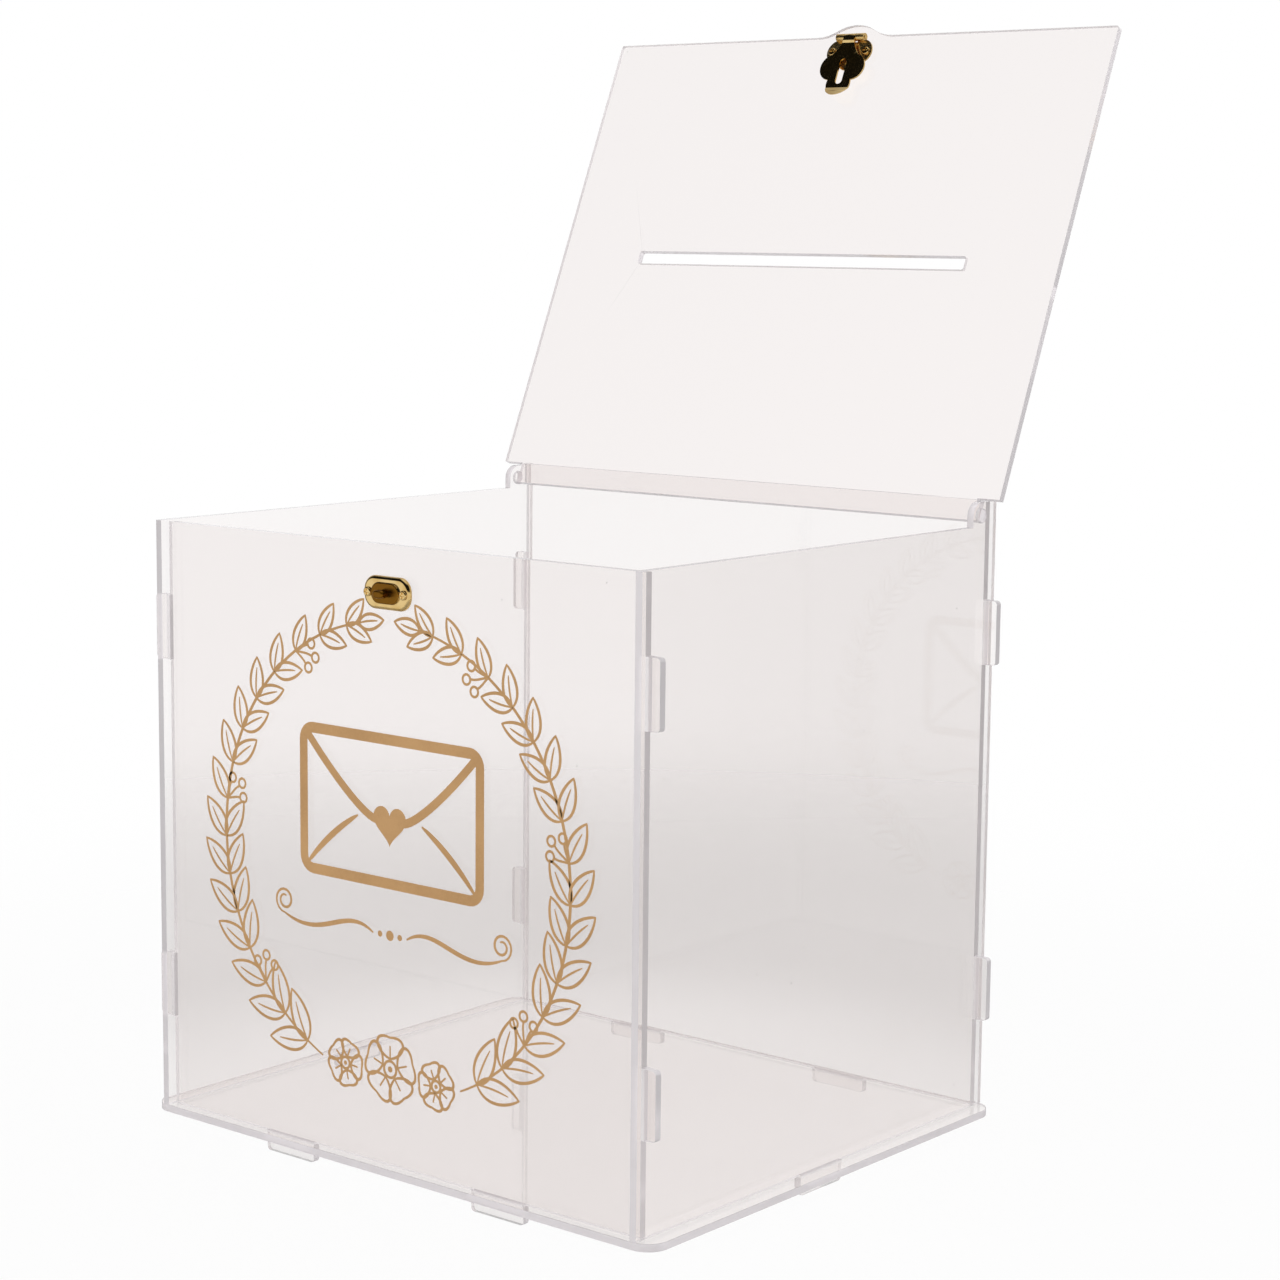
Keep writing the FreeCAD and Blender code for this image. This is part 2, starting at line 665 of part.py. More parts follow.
def lock_retainer():
    body = lock_body("lock_retainer")
    ring = Outline(body, "ring", lift=-retainer_face)
    ring.circle(NOTHING, NOTHING, size.retainer_diameter / 2)
    ring.circle(NOTHING, NOTHING, stem_hole_radius)
    pad(body, ring, size.retainer_thickness, backwards=True)
    return body


def cross(outline, x, y):
    """A cross recess as one twelve-cornered loop."""
    far, near = size.recess_length / 2, size.recess_width / 2
    corners = (
        (far, near), (near, near), (near, far), (-near, far), (-near, near), (-far, near),
        (-far, -near), (-near, -near), (-near, -far), (near, -far), (near, -near), (far, -near),
    )
    outline.loop([(x + along, y + up) for along, up in corners])


def screw(body, x, y, seat, sheet_back):
    """A screw with its head on a seat, ending just short of the far face of the sheet it holds in."""
    head = Outline(body, "head", lift=seat)
    head.circle(x, y, size.screw_head_diameter / 2)
    pad(body, head, size.screw_head_height)
    round_rim(body, size.screw_head_radius, seat + size.screw_head_height, lambda point: True)
    recess = Outline(body, "recess", lift=seat + size.screw_head_height)
    cross(recess, x, y)
    pocket(body, recess, size.recess_depth)
    shank = Outline(body, "shank", lift=seat)
    shank.circle(x, y, size.screw_diameter / 2)
    pad(body, shank, seat + sheet_back - size.screw_end_gap, backwards=True)
    return body


def screw_pair(make_frame, label, spacing, y, seat, sheet_back):
    """A left and a right screw, each a body of its own in the hasp's or the lock's frame."""
    places = (("left", -spacing / 2), ("right", spacing / 2))
    return [screw(make_frame(f"{label}_{side}"), x, y, seat, sheet_back) for side, x in places]


pieces = [
    base_plate(),
    front_panel(),
    back_panel(),
    side_panel("left_side_panel", -half_width),
    side_panel("right_side_panel", inner_half_width),
    lid_panel(),
    hasp_plate(),
    hasp_leaf(),
    hasp_pin(),
    *screw_pair(lid_body, "hasp_screw", size.hasp_screw_spacing, hasp_middle(),
                thickness / 2 + size.hasp_thickness, thickness / 2),
    lock_plate(),
    lock_knob(),
    lock_retainer(),
    *screw_pair(lock_body, "lock_screw", size.lock_screw_spacing, NOTHING, size.lock_thickness, thickness),
]
doc.recompute()

for item in doc.Objects:
    if "Invalid" in item.State or "Error" in item.State:
        raise RuntimeError(f"{item.Label} failed: {item.State}")
for piece in pieces:
    if piece.Shape.isNull() or not piece.Shape.isValid() or not piece.Shape.Solids:
        raise RuntimeError(f"{piece.Label} is not a valid solid")

os.makedirs("parts", exist_ok=True)
for piece in pieces:
    piece.Shape.exportStep(f"parts/{piece.Label}.step")
    box = piece.Shape.BoundBox
    print(f"{piece.Label:18s} solids {len(piece.Shape.Solids)} volume {piece.Shape.Volume:10.1f} "
          f"x {box.XMin:.2f} {box.XMax:.2f} y {box.YMin:.2f} {box.YMax:.2f} z {box.ZMin:.2f} {box.ZMax:.2f}")
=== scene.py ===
import json
from math import cos, hypot, pi, radians, sin

import bpy
from mathutils import Matrix, Vector


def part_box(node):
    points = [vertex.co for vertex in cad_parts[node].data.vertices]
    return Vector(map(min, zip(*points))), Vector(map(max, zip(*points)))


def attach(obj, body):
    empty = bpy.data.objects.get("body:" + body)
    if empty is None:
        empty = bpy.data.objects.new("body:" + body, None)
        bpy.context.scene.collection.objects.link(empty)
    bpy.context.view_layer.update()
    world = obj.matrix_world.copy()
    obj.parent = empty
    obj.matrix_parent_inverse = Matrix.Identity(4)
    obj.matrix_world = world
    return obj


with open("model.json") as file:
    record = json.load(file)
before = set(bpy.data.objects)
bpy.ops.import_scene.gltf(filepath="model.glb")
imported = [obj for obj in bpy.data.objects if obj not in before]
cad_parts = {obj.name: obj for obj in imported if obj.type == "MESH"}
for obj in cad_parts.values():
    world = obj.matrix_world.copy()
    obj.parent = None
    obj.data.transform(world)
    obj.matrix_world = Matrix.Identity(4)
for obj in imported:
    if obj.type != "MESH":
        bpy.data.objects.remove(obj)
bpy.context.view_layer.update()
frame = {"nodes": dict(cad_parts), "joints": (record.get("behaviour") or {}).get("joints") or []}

MM = 0.001
TURN = 2 * pi

# Where the photograph was taken from, and with which lens on a 36 mm frame.
CAMERA_PLACE = (0.7495, -0.8687, 0.3629)
CAMERA_YAW, CAMERA_PITCH, CAMERA_ROLL = radians(39.533), radians(8.087), radians(-0.567)
LENS_MM, FRAME_MM = 81.36, 36.0

# How far sanding and stamping break the sharp edges, and which edges count as sharp.
CUT_EDGE_BREAK = 0.12 * MM
METAL_EDGE_BREAK = 0.10 * MM
SHARP_ANGLE = radians(40)
WELD_REACH = 0.002 * MM

# Clear sheets: the colours that faces and cut edges let through, and what lies on them.
CLEAR_LID = (0.985, 0.947, 0.938)
# Painted shade: the front and back are the same acrylic as the lid, given a darker clear colour for the
# duller tone they show.
CLEAR_WALL_PAINTED_SHADE = (0.945, 0.922, 0.916)
CLEAR_SIDE = (0.975, 0.953, 0.947)
CUT_EDGE_PALE = (0.80, 0.765, 0.785)
CUT_EDGE_DEEP = (0.72, 0.685, 0.70)
CUT_EDGE_CLEARNESS = 0.35
# Painted light: the lid's cut edges are coloured lighter than the other sheets' edges, to make up for the
# shade their angle gives them.
LID_EDGE_PAINTED_LIGHT = 1.16
LAMP_LIGHT_PASSED = (0.978, 0.976, 0.976, 1)
DUST_GREY = (0.62, 0.60, 0.58)
ACRYLIC_IOR = 1.49

# Metal: the plating's tones, the deeper amber on the lock's raised parts, which is a painted reflection of
# the dark room, and how dull each finish gets.
BRASS_PALE, BRASS_DEEP = (0.82, 0.60, 0.27), (0.70, 0.47, 0.17)
PAINTED_REFLECTION_AMBER_PALE, PAINTED_REFLECTION_AMBER_DEEP = (0.30, 0.14, 0.015), (0.24, 0.10, 0.01)
POLISHED, SATIN, PAINTED_REFLECTION_DULLNESS = 0.13, 0.42, 0.34
PAINTED_REFLECTION_DEPTH = 0.3 * MM
PAINTED_REFLECTION_FADE = 0.1 * MM

# The print on the front panel: a film of ink, with its design in millimetres.
INK_PALE, INK_DEEP = (0.50, 0.289, 0.12), (0.42, 0.235, 0.092)
PRINT_FILM = 0.04 * MM
PRINT_LIFT = 0.06 * MM
PRINT_LAYER, PRINT_LAYERS = 0.004 * MM, 13
PRINT_MIDDLE_Z = 127.0
LINE = 1.25
RING = 90.0
BERRY = 1.9

# Scales of the patterns in the materials, in repeats per metre.
WIPE_MARKS = (40.0, 40.0, 9.0)
SAW_MARKS = 70.0
EDGE_PATCHES = 60.0
DUST_CELLS = 55.0
SHEET_WAVES = 7.0
BRASS_PATCHES = 160.0
BRASS_SCRATCHES = (600.0, 5000.0, 5000.0)
INK_GRAIN = 2500.0
INK_COVER = 45.0
FLOOR_PATCHES = 4.0

# The studio: its floor, and the room that gloss mirrors.
FLOOR_REACH = 1.1
FLOOR_SIDES = 64
FLOOR_PALE, FLOOR_DEEP = (0.76, 0.757, 0.755), (0.74, 0.737, 0.735)
FLOOR_SEEN_WHITE = 0.9
# Painted light: the share of white glow on the floor under the base, seen through the sheets.
FLOOR_PAINTED_LIGHT_UNDER_BASE = 0.66
PHOTOGRAPHERS_SIDE = (0.636, -0.771, 0.0)
DARK_ROOM = 0.006
BACK_WALL, CEILING, TABLE = 0.9, 0.85, 0.9
GLOSS_INSIDE_SHEETS = (0.52, 0.85)
SOFT_LIGHT_HELD_BACK = 0.3

WHITE = (1, 1, 1, 1)
UNIT = (0.0, 1.0)
FALLING = (1.0, 0.0)

FRONT_FACE_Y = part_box("front_panel")[0].y
LOCK_FACE_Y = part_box("lock_plate")[0].y
LID_TURN = next(joint for joint in frame["joints"] if joint["name"] == "lid_hinge")["range_deg"][1]

scene = bpy.context.scene


def node(tree, kind, inputs=None, **settings):
    """A new node with its settings made, and each input joined to a socket or set to a value."""
    made = tree.nodes.new(kind)
    for name, value in settings.items():
        setattr(made, name, value)
    for name, value in (inputs or {}).items():
        if isinstance(value, bpy.types.NodeSocket):
            tree.links.new(value, made.inputs[name])
        else:
            made.inputs[name].default_value = value
    return made


def calculate(tree, operation, first, second):
    return node(tree, "ShaderNodeMath", {0: first, 1: second}, operation=operation).outputs[0]


def noise(tree, place, scale, detail):
    inputs = {"Vector": place, "Scale": scale, "Detail": detail}
    return node(tree, "ShaderNodeTexNoise", inputs).outputs["Fac"]


def remap(tree, value, source, target):
    """The value's source range stretched to the target range, smoothly and without going past it."""
    inputs = {
        "Value": value,
        "From Min": source[0], "From Max": source[1],
        "To Min": target[0], "To Max": target[1],
    }
    return node(tree, "ShaderNodeMapRange", inputs, interpolation_type="SMOOTHSTEP").outputs["Result"]


def blend(tree, factor, one, other):
    """A number that goes from one to the other as the factor goes from 0 to 1."""
    return node(tree, "ShaderNodeMix", {0: factor, 2: one, 3: other}, data_type="FLOAT").outputs[0]


def colours(tree, factor, one, other):
    """The same for two colours, each a node's output or its red, green and blue."""
    first, second = (end if isinstance(end, bpy.types.NodeSocket) else (*end, 1) for end in (one, other))
    return node(tree, "ShaderNodeMix", {0: factor, 6: first, 7: second}, data_type="RGBA").outputs[2]


def mixed_shader(tree, factor, one, other):
    return node(tree, "ShaderNodeMixShader", {0: factor, 1: one.outputs[0], 2: other.outputs[0]})


def bump(tree, height, strength, distance):
    inputs = {"Height": height, "Strength": strength, "Distance": distance}
    return node(tree, "ShaderNodeBump", inputs).outputs[0]


def new_material(name):
    """An empty node material, its node tree and the place on the object that its patterns are laid out by."""
    material = bpy.data.materials.new(name)
    material.use_nodes = True
    tree = material.node_tree
    tree.nodes.clear()
    place = node(tree, "ShaderNodeTexCoord").outputs["Object"]
    return material, tree, place


def show(tree, shader):
    """Makes the shader the surface of the material."""
    node(tree, "ShaderNodeOutputMaterial", {"Surface": shader.outputs[0]})


def clear_acrylic(name, across, clear, edge_painted_light=1.0):
    """Clear cast sheet with faint wipe marks, a little dust, and cut edges that are greyer and less clear.

    The direction across the sheet tells its faces from its edges. Its faces let the clear colour through,
    and the edge factor makes its cut edges lighter than those of the other sheets: painted light on edges
    that face away from the lamps.
    """
    material, tree, place = new_material(name)
    normal = node(tree, "ShaderNodeTexCoord").outputs["Normal"]
    lined_up = node(tree, "ShaderNodeVectorMath", {0: normal, 1: across}, operation="DOT_PRODUCT")
    squareness = calculate(tree, "ABSOLUTE", lined_up.outputs["Value"], 0.0)
    face = remap(tree, squareness, (0.6, 0.9), UNIT)

    wiped = node(tree, "ShaderNodeMapping", {"Vector": place, "Scale": WIPE_MARKS}).outputs[0]
    haze = remap(tree, noise(tree, wiped, 1.0, 5.0), (0.5, 0.85), (0.0, 0.035))
    sawn = remap(tree, noise(tree, place, SAW_MARKS, 2.0), (0.3, 0.7), (0.08, 0.16))

    cells = node(tree, "ShaderNodeTexVoronoi", {"Vector": place, "Scale": DUST_CELLS})
    near = remap(tree, cells.outputs["Distance"], (0.02, 0.035), FALLING)
    chosen = remap(tree, cells.outputs["Color"], (0.80, 0.82), UNIT)
    dust = calculate(tree, "MULTIPLY", near, chosen)
    face_tint = colours(tree, dust, clear, DUST_GREY)
    # Painted light where the factor is over 1: lighter copies of the cut edge colours.
    edge_pale = tuple(edge_painted_light * share for share in CUT_EDGE_PALE)
    edge_deep = tuple(edge_painted_light * share for share in CUT_EDGE_DEEP)
    edge_tint = colours(tree, noise(tree, place, EDGE_PATCHES, 2.0), edge_pale, edge_deep)

    sheet = node(tree, "ShaderNodeBsdfPrincipled", {
        "Base Color": colours(tree, face, edge_tint, face_tint),
        "Roughness": blend(tree, face, sawn, haze),
        "IOR": ACRYLIC_IOR,
        "Transmission Weight": remap(tree, face, UNIT, (CUT_EDGE_CLEARNESS, 1.0)),
        "Normal": bump(tree, noise(tree, place, SHEET_WAVES, 1.0), 0.05, 1.0 * MM),
    })

    # Lamps and soft light reach what is behind the sheet, as they do through real acrylic.
    path = node(tree, "ShaderNodeLightPath")
    lamp_light = calculate(tree, "MAXIMUM", path.outputs["Is Shadow Ray"], path.outputs["Is Diffuse Ray"])
    let_through = node(tree, "ShaderNodeBsdfTransparent", {"Color": LAMP_LIGHT_PASSED})
    show(tree, mixed_shader(tree, lamp_light, sheet, let_through))
    return material


def polished_brass(name, dullest=POLISHED, raised_y=None):
    """Bright gold-coloured plate over brass, with fine wiping scratches and duller patches.

    What stands further forward than raised_y, where that is given, is painted a deeper amber with a softer
    gloss: a painted reflection of the dark room on the lock's boss and knob.
    """
    material, tree, place = new_material(name)
    patches = noise(tree, place, BRASS_PATCHES, 4.0)
    tone = colours(tree, remap(tree, patches, (0.35, 0.7), UNIT), BRASS_PALE, BRASS_DEEP)
    brushed = node(tree, "ShaderNodeMapping", {"Vector": place, "Scale": BRASS_SCRATCHES}).outputs[0]
    scratches = noise(tree, brushed, 1.0, 2.0)
    dullness = remap(tree, scratches, (0.3, 0.8), (0.4 * dullest, dullest))
    if raised_y is not None:
        forward = node(tree, "ShaderNodeSeparateXYZ", {0: place}).outputs["Y"]
        painted_reflection = remap(tree, forward, (raised_y - PAINTED_REFLECTION_FADE, raised_y + PAINTED_REFLECTION_FADE), FALLING)
        # Painted reflection: the raised boss and knob are coloured a deep amber for the dark room they
        # mirror.
        tone = colours(tree, painted_reflection, tone, colours(tree, patches, PAINTED_REFLECTION_AMBER_PALE, PAINTED_REFLECTION_AMBER_DEEP))
        dullness = blend(tree, painted_reflection, dullness, PAINTED_REFLECTION_DULLNESS)
    show(tree, node(tree, "ShaderNodeBsdfPrincipled", {
        "Base Color": tone,
        "Metallic": 1.0,
        "Roughness": dullness,
        "Normal": bump(tree, scratches, 0.06, 0.1 * MM),
    }))
    return material


def gold_print():
    """Matt gold ink with a slight grain and a little unevenness in its cover."""
    material, tree, place = new_material("gold_print")
    grain = noise(tree, place, INK_GRAIN, 2.0)
    uneven = calculate(tree, "MULTIPLY", grain, noise(tree, place, INK_COVER, 3.0))
    show(tree, node(tree, "ShaderNodeBsdfPrincipled", {
        "Base Color": colours(tree, remap(tree, uneven, (0.1, 0.4), UNIT), INK_PALE, INK_DEEP),
        "Roughness": remap(tree, grain, (0.3, 0.7), (0.42, 0.6)),
        "Normal": bump(tree, grain, 0.15, 0.05 * MM),
    }))
    return material


ACROSS_X, ACROSS_Y, ACROSS_Z = (1, 0, 0), (0, 1, 0), (0, 0, 1)
ACROSS_LID = (0, sin(radians(LID_TURN)), cos(radians(LID_TURN)))
SHEETS = {
    "base_plate": clear_acrylic("clear_acrylic_base", ACROSS_Z, CLEAR_LID),
    # The front and back get a darker copy of the clear colour: painted shade.
    "front_panel": clear_acrylic("clear_acrylic_front_and_back", ACROSS_Y, CLEAR_WALL_PAINTED_SHADE),
    "left_side_panel": clear_acrylic("clear_acrylic_sides", ACROSS_X, CLEAR_SIDE),
    "lid_panel": clear_acrylic("clear_acrylic_lid", ACROSS_LID, CLEAR_LID, LID_EDGE_PAINTED_LIGHT),
}
SHEETS["back_panel"] = SHEETS["front_panel"]
SHEETS["right_side_panel"] = SHEETS["left_side_panel"]
BRASS = polished_brass("polished_brass")
# The lock's raised boss and knob carry a painted reflection in deep amber.
LOCK_BRASS = polished_brass("polished_brass_with_painted_reflection_on_boss", raised_y=LOCK_FACE_Y + PAINTED_REFLECTION_DEPTH)
SATIN_BRASS = polished_brass("satin_brass", SATIN)
BRASS_PIECES = {"lock_plate": LOCK_BRASS, "lock_knob": LOCK_BRASS, "hasp_plate": SATIN_BRASS}
INK = gold_print()


def dress(piece, finish, edge_break):
    """Gives a CAD node its finish, and breaks its sharp edges a little as sanding or stamping does."""
    piece.data.materials.clear()
    piece.data.materials.append(finish)
    weld = piece.modifiers.new("join_faces", "WELD")
    weld.merge_threshold = WELD_REACH
    broken = piece.modifiers.new("broken_edges", "BEVEL")
    broken.width = edge_break
    broken.segments = 2
    broken.limit_method = "ANGLE"
    broken.angle_limit = SHARP_ANGLE


for name, piece in frame["nodes"].items():
    if name in SHEETS:
        dress(piece, SHEETS[name], CUT_EDGE_BREAK)
    else:
        dress(piece, BRASS_PIECES.get(name, BRASS), METAL_EDGE_BREAK)


class Print:
    """Flat shapes on the front panel's outer face, in millimetres from the middle of the printed ring."""

    def __init__(self, name):
        self.name = name
        self.points = []
        self.faces = []
        self.shapes = 0

    def add(self, points):
        """Adds one shape's points on a layer of its own, and gives the first one's number."""
        first = len(self.points)
        self.points += [(x, z, self.shapes % PRINT_LAYERS) for x, z in points]
        self.shapes += 1
        return first

    def area(self, outline):
        """One filled shape, from its outline."""
        first = self.add(outline)
        self.faces.append(range(first, len(self.points)))

    def stroke(self, path, width, tip=None, closed=False):
        """A line along the path. With a tip width, it swells from there at each end to its full width."""
        count = len(path)
        rows = []
        for i, (x, z) in enumerate(path):
            before = path[i - 1] if i or closed else path[i]
            after = path[(i + 1) % count] if i < count - 1 or closed else path[i]
            run, rise = after[0] - before[0], after[1] - before[1]
            length = hypot(run, rise)
            swell = 1 if tip is None else abs(sin(pi * i / (count - 1))) ** 0.6
            half = (width if tip is None else tip + (width - tip) * swell) / 2
            across = (-rise / length * half, run / length * half)
            rows.append(((x - across[0], z - across[1]), (x + across[0], z + across[1])))
        first = self.add([point for row in rows for point in row])
        for i in range(count if closed else count - 1):
            here, there = first + 2 * i, first + 2 * ((i + 1) % count)
            self.faces.append((here, there, there + 1, here + 1))
        if not closed:
            for end in (path[0], path[-1]):
                self.area(circle(*end, (width if tip is None else tip) / 2, 12))

    def finish(self):
        """Makes the film of ink and fixes it to the box.

        Shapes that cross lie in different layers, so that no two coincide.
        """
        mesh = bpy.data.meshes.new(self.name)
        places = [(x * MM, FRONT_FACE_Y - PRINT_LIFT - layer * PRINT_LAYER, (PRINT_MIDDLE_Z + z) * MM)
                  for x, z, layer in self.points]
        mesh.from_pydata(places, [], [list(face) for face in self.faces])
        mesh.materials.append(INK)
        piece = bpy.data.objects.new(self.name, mesh)
        scene.collection.objects.link(piece)
        film = piece.modifiers.new("film", "SOLIDIFY")
        film.thickness = PRINT_FILM
        film.offset = -1
        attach(piece, "box")


def circle(x, z, radius, count):
    return [(x + radius * cos(TURN * i / count), z + radius * sin(TURN * i / count)) for i in range(count)]


def bezier(start, pull, push, stop, count=14):
    """Points along a curve from start to stop, drawn towards the two points between."""
    points = []
    for i in range(count + 1):
        t = i / count
        s = 1 - t
        shares = (s ** 3, 3 * s * s * t, 3 * s * t * t, t ** 3)
        corners = (start, pull, push, stop)
        points.append(tuple(sum(k * p[axis] for k, p in zip(shares, corners)) for axis in (0, 1)))
    return points


def turned(points, x, z, angle, side=1):
    """Points drawn along +X, mirrored where side is -1, turned by the angle and moved to a place."""
    return [(x + px * cos(angle) - side * pz * sin(angle), z + px * sin(angle) + side * pz * cos(angle))
            for px, pz in points]


def leaf(ink, x, z, angle, length, breadth):
    """A pointed leaf in outline, with its midrib."""
    for side in (1, -1):
        swell = (0.22 * length, side * 0.95 * breadth)
        taper = (0.72 * length, side * 0.6 * breadth)
        half = bezier((0, 0), swell, taper, (length, 0))
        ink.stroke(turned(half, x, z, angle), LINE, 0.6 * LINE)
    rise, fall = (0.25 * length, 0.04 * length), (0.5 * length, 0.03 * length)
    rib = bezier((0, 0), rise, fall, (0.74 * length, 0), 8)
    ink.stroke(turned(rib, x, z, angle), 0.7 * LINE, 0.35 * LINE)


def berries(ink, x, z, angle, reach):
    """Three round berries on thin stalks that fan out from one point."""
    for spread, share in ((-0.55, 0.8), (0.0, 1.0), (0.55, 0.8)):
        stalk_end = share * reach
        stalk = bezier((0, 0), (0.4 * stalk_end, 0), (0.7 * stalk_end, 0.1 * stalk_end), (stalk_end, 0), 6)
        ink.stroke(turned(stalk, x, z, angle + spread), 0.75 * LINE)
        berry = circle(stalk_end + BERRY, 0, BERRY, 16)
        ink.stroke(turned(berry, x, z, angle + spread), 0.8 * LINE, closed=True)


def blossom(ink, x, z, radius, lean):
    """A simple open flower of five notched petals with a round middle."""
    petals = 5
    root, tip = (0.3 * radius, 0), (0.92 * radius, 0)
    flank, shoulder = (0.45 * radius, 0.62 * radius), (1.05 * radius, 0.72 * radius)
    vein = [(share * radius, 0) for share in (0.36, 0.5, 0.66)]
    for petal in range(petals):
        angle = lean + TURN * petal / petals
        for side in (1, -1):
            edge = bezier(root, flank, shoulder, tip)
            ink.stroke(turned(edge, x, z, angle, side), LINE, 0.7 * LINE)
        ink.stroke(turned(vein, x, z, angle), 0.6 * LINE)
    ink.stroke(circle(x, z, 0.24 * radius, 20), 0.9 * LINE, closed=True)
    ink.area(circle(x, z, 0.09 * radius, 12))


def heart(x, z, width):
    """The outline of a heart: the usual curve of a few waves round one turn, which is 32 units wide."""
    scale = width / 32
    count = 48
    outline = []
    for i in range(count):
        t = TURN * i / count
        level = 13 * cos(t) - 5 * cos(2 * t) - 2 * cos(3 * t) - cos(4 * t)
        outline.append((x - 16 * scale * sin(t) ** 3, z + scale * level))
    return outline


def on_ring(side, angle):
    """A place on the printed ring, on its right half, or mirrored on its left where side is -1."""
    return side * RING * cos(angle), RING * sin(angle)


def mirrored(side, heading):
    """The heading itself, or its mirror image where side is -1."""
    return heading if side > 0 else pi - heading


def wreath():
    """Two leafy branches that rise from three flowers below and almost meet above."""
    ink = Print("print_wreath")
    low, high = radians(-66), radians(80)
    branch_steps, leaf_pairs, pairs_per_berry = 60, 15, 5
    leafed, bare_root = 0.93, 0.04
    leaf_length, leaf_shortening = 21, 7
    leaf_breadth, leaf_narrowing = 7.6, 2.4
    end_leaf_length, end_leaf_breadth = 13, 5
    leaf_lean, berry_lean, berry_reach = 0.62, 0.75, 9.0
    upright = radians(90)
    for side in (1, -1):
        branch = [on_ring(side, low + (high - low) * i / branch_steps) for i in range(branch_steps + 1)]
        ink.stroke(branch, 1.1 * LINE, 0.6 * LINE)
        for i in range(leaf_pairs):
            share = i / (leaf_pairs - 1)
            angle = low + (high - low) * (share * leafed + bare_root)
            x, z = on_ring(side, angle)
            along = angle + pi / 2
            length = leaf_length - leaf_shortening * share
            breadth = leaf_breadth - leaf_narrowing * share
            for lean in (leaf_lean, -leaf_lean):
                if lean > 0 and i % pairs_per_berry == 2:
                    berries(ink, x, z, mirrored(side, along + berry_lean), berry_reach)
                else:
                    leaf(ink, x, z, mirrored(side, along + lean), length, breadth)
        end_x, end_z = on_ring(side, high)
        leaf(ink, end_x, end_z, mirrored(side, high + pi / 2), end_leaf_length, end_leaf_breadth)
        blossom(ink, side * 24, -83, 9.5, upright + side * 0.4)
    blossom(ink, 0, -81, 13.5, upright)
    ink.finish()


def envelope():
    """A closed envelope in bold lines with a heart for its seal, as the sign for cards."""
    ink = Print("print_envelope")
    half, low, high, bend, bold = 46.0, -9.0, 46.0, 5.0, 4.2
    bend_steps = 6
    rim = []
    for x, z, quarter in ((half, high, 0), (-half, high, 1), (-half, low, 2), (half, low, 3)):
        middle_x = x - bend * (1 if x > 0 else -1)
        middle_z = z - bend * (1 if z == high else -1)
        for i in range(bend_steps + 1):
            angle = pi / 2 * (quarter + i / bend_steps)
            rim.append((middle_x + bend * cos(angle), middle_z + bend * sin(angle)))
    ink.stroke(rim, bold, closed=True)
    for side in (1, -1):
        flap = bezier(
            (side * (half - 2), high - 2), (side * 30, high - 17),
            (side * 14, high - 30), (side * 7.5, high - 31), 16,
        )
        ink.stroke(flap, 0.8 * bold)
        fold = bezier(
            (side * (half - 2), low + 2), (side * 36, low + 11),
            (side * 26, low + 19), (side * 17, low + 24), 12,
        )
        ink.stroke(fold, 0.62 * bold, 0.2 * bold)
    ink.area(heart(0, high - 32, 17))
    ink.finish()


def flourish():
    """A traditional scroll line with a curl at each end and three beads in the middle."""
    ink = Print("print_flourish")
    level, inner, outer, thin = -29.0, 9, 57, 0.7
    curl_radius, curl_closing, curl_turns, curl_steps = 5.2, 3.4, 1.55, 26
    for side in (1, -1):
        wave = bezier(
            (side * inner, level), (side * 24, level + 9), (side * 36, level - 9), (side * outer, level), 30,
        )
        ink.stroke(wave, 1.9, thin)
        curl = []
        for i in range(curl_steps + 1):
            turn = -pi / 2 + curl_turns * TURN * i / curl_steps
            reach = curl_radius - curl_closing * i / curl_steps
            curl.append((side * (outer + reach * cos(turn)), level + curl_radius + reach * sin(turn)))
        ink.stroke(curl, 1.1, thin)
        ink.area(circle(side * 5.2, level, 1.2, 16))
    ink.area(circle(0, level, 2.0, 20))
    ink.finish()


wreath()
envelope()
flourish()


def floor():
    """A pale floor that keeps the shadow of the box, except where painted light lifts it under the base, and
    fades into the white background all round.
    """
    mesh = bpy.data.meshes.new("studio_floor")
    rim = [(x, y, 0) for x, y in circle(0, 0, FLOOR_REACH, FLOOR_SIDES)]
    mesh.from_pydata(rim, [], [range(FLOOR_SIDES)])
    material, tree, place = new_material("studio_floor")
    tone = colours(tree, noise(tree, place, FLOOR_PATCHES, 2.0), FLOOR_PALE, FLOOR_DEEP)
    lit = node(tree, "ShaderNodeBsdfDiffuse", {"Color": tone})
    white = node(tree, "ShaderNodeEmission", {"Color": WHITE, "Strength": 1.0})
    distance = node(tree, "ShaderNodeVectorMath", {0: place}, operation="LENGTH").outputs["Value"]
    path = node(tree, "ShaderNodeLightPath")
    seen_clear = calculate(tree, "MULTIPLY", path.outputs["Is Camera Ray"], FLOOR_SEEN_WHITE)
    # Painted light: seen through the sheets, the floor under the base partly glows white, which lifts the
    # box's shadow there.
    painted_light_under_base = remap(tree, distance, (0.14, 0.30), (FLOOR_PAINTED_LIGHT_UNDER_BASE, 0.0))
    seen_through = calculate(tree, "MULTIPLY", path.outputs["Is Transmission Ray"], painted_light_under_base)
    near = mixed_shader(tree, calculate(tree, "MAXIMUM", seen_clear, seen_through), lit, white)
    faded = remap(tree, distance, (0.25, FLOOR_REACH), UNIT)
    show(tree, mixed_shader(tree, faded, near, node(tree, "ShaderNodeBsdfTransparent")))
    mesh.materials.append(material)
    ground = bpy.data.objects.new("studio_floor", mesh)
    scene.collection.objects.link(ground)


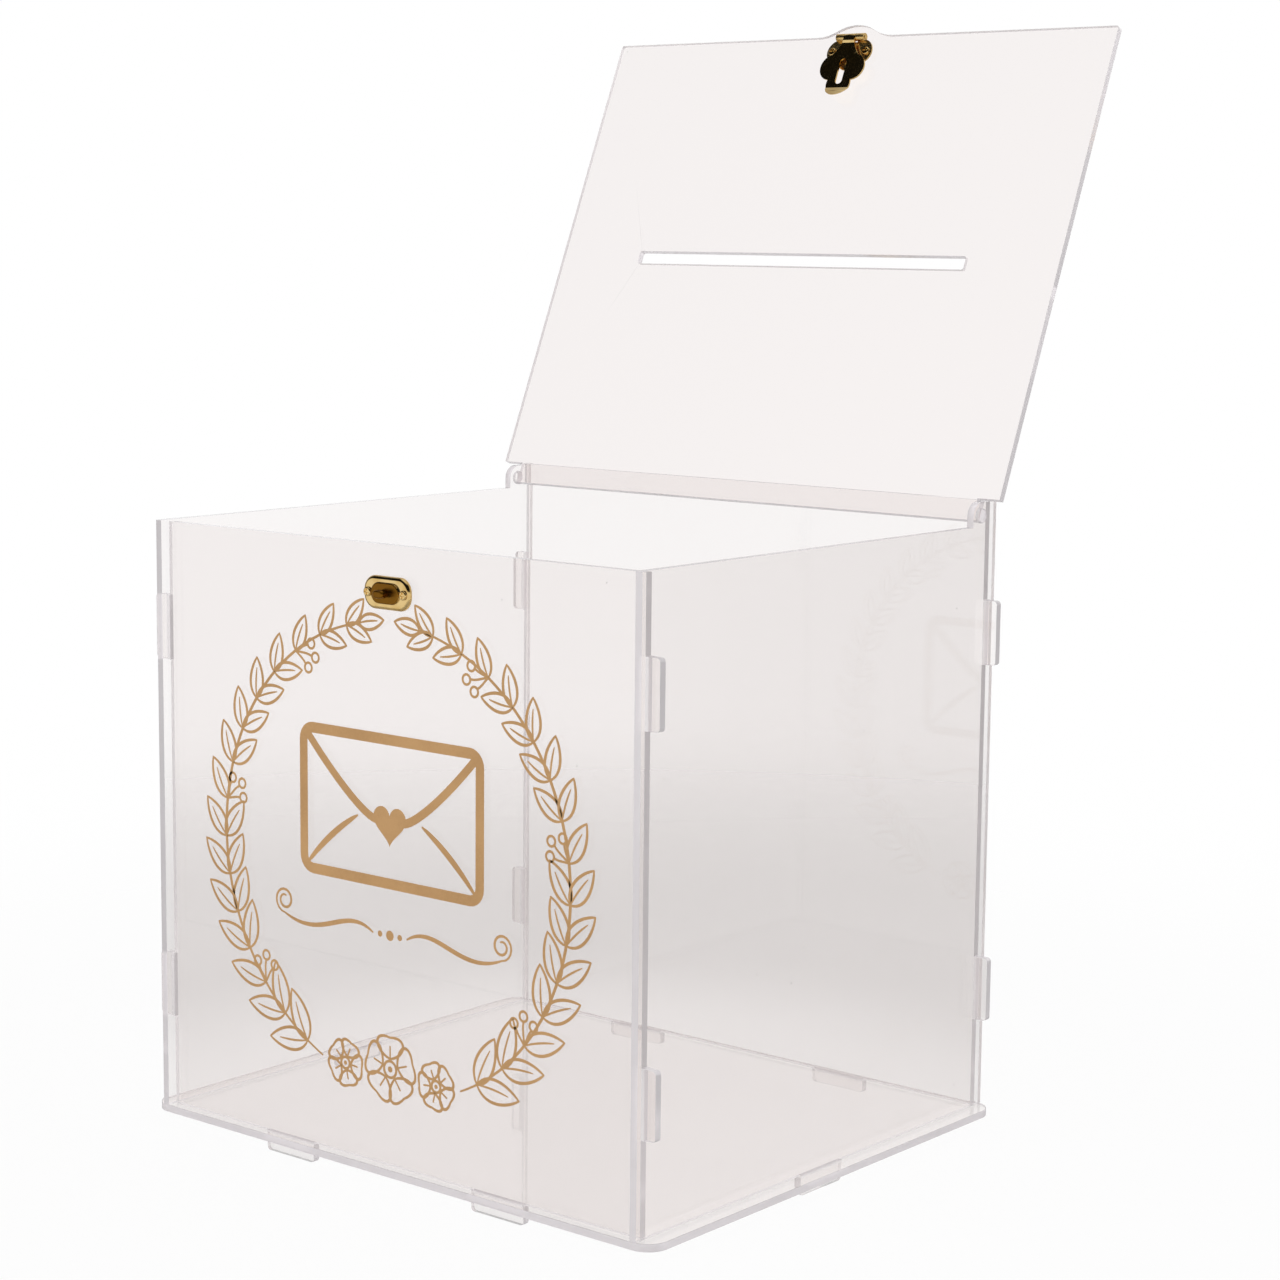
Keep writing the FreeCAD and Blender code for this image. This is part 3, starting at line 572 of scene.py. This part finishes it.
def studio():
    """A white background, soft light all round, and a darker room on the camera's side for gloss to show."""
    world = bpy.data.worlds.new("studio")
    scene.world = world
    world.use_nodes = True
    tree = world.node_tree
    tree.nodes.clear()
    direction = node(tree, "ShaderNodeTexCoord").outputs["Generated"]
    parts = node(tree, "ShaderNodeSeparateXYZ", {0: direction})
    height = parts.outputs["Z"]
    ahead = node(tree, "ShaderNodeVectorMath", {0: direction, 1: PHOTOGRAPHERS_SIDE}, operation="DOT_PRODUCT")
    facing = ahead.outputs["Value"]

    backdrop = remap(tree, facing, (-0.9, -0.25), (1.0, DARK_ROOM))
    behind = remap(tree, parts.outputs["Y"], (0.1, 0.7), (0.0, BACK_WALL))
    back_wall = calculate(tree, "MULTIPLY", behind, remap(tree, height, (-0.05, 0.1), UNIT))
    overhead = remap(tree, height, (0.75, 0.97), (0.0, CEILING))
    table = remap(tree, height, (-0.05, 0.16), (TABLE, 0.0))
    before = remap(tree, facing, (-0.3, 0.1), UNIT)
    room = calculate(tree, "MULTIPLY", table, before)
    for surface in (backdrop, back_wall, overhead):
        room = calculate(tree, "MAXIMUM", room, surface)

    # Reflected rays see the room, more softly inside the sheets. All others see the white background.
    path = node(tree, "ShaderNodeLightPath")
    reflected = calculate(tree, "GREATER_THAN", path.outputs["Glossy Depth"], 0.5)
    passed = calculate(tree, "GREATER_THAN", path.outputs["Transmission Depth"], 0.5)
    gloss = blend(tree, passed, room, remap(tree, room, UNIT, GLOSS_INSIDE_SHEETS))
    shown = blend(tree, reflected, 1.0, gloss)
    held_back = calculate(tree, "MULTIPLY", path.outputs["Is Diffuse Ray"], SOFT_LIGHT_HELD_BACK)
    strength = calculate(tree, "SUBTRACT", shown, held_back)
    light = node(tree, "ShaderNodeBackground", {"Color": WHITE, "Strength": strength})
    node(tree, "ShaderNodeOutputWorld", {"Surface": light.outputs[0]})


def softbox(name, place, target, side, watts):
    """A square soft lamp that lights the object without showing as a white square in its gloss."""
    lamp = bpy.data.lights.new(name, "AREA")
    lamp.size = side
    lamp.energy = watts
    holder = bpy.data.objects.new(name, lamp)
    holder.location = place
    holder.rotation_euler = (Vector(target) - Vector(place)).to_track_quat("-Z", "Y").to_euler()
    holder.visible_glossy = False
    holder.visible_transmission = False
    holder.visible_camera = False
    scene.collection.objects.link(holder)


def camera():
    """The camera at the photograph's place, turned by its yaw, pitch and roll."""
    right = Vector((cos(CAMERA_YAW), sin(CAMERA_YAW), 0))
    level = cos(CAMERA_PITCH)
    ahead = Vector((-sin(CAMERA_YAW) * level, cos(CAMERA_YAW) * level, -sin(CAMERA_PITCH)))
    down = ahead.cross(right)
    across = cos(CAMERA_ROLL) * right + sin(CAMERA_ROLL) * down
    up = sin(CAMERA_ROLL) * right - cos(CAMERA_ROLL) * down
    eye = bpy.data.objects.new("camera", bpy.data.cameras.new("camera"))
    eye.matrix_world = Matrix.Translation(CAMERA_PLACE) @ Matrix((across, up, -ahead)).transposed().to_4x4()
    eye.data.lens = LENS_MM
    eye.data.sensor_width = FRAME_MM
    scene.collection.objects.link(eye)
    scene.camera = eye


floor()
studio()
softbox("key_lamp", place=(-0.9, -2.2, 1.0), target=(0, 0, 0.2), side=1.2, watts=22)
softbox("fill_lamp", place=(2.0, 0.2, 0.9), target=(0, 0, 0.25), side=1.4, watts=14)
softbox("top_lamp", place=(0.3, 0.4, 2.2), target=(0, 0, 0.1), side=1.6, watts=10)
camera()
scene.view_settings.view_transform = "Standard"
scene.cycles.max_bounces = 48
scene.cycles.glossy_bounces = 40
scene.cycles.transmission_bounces = 32
scene.cycles.transparent_max_bounces = 32
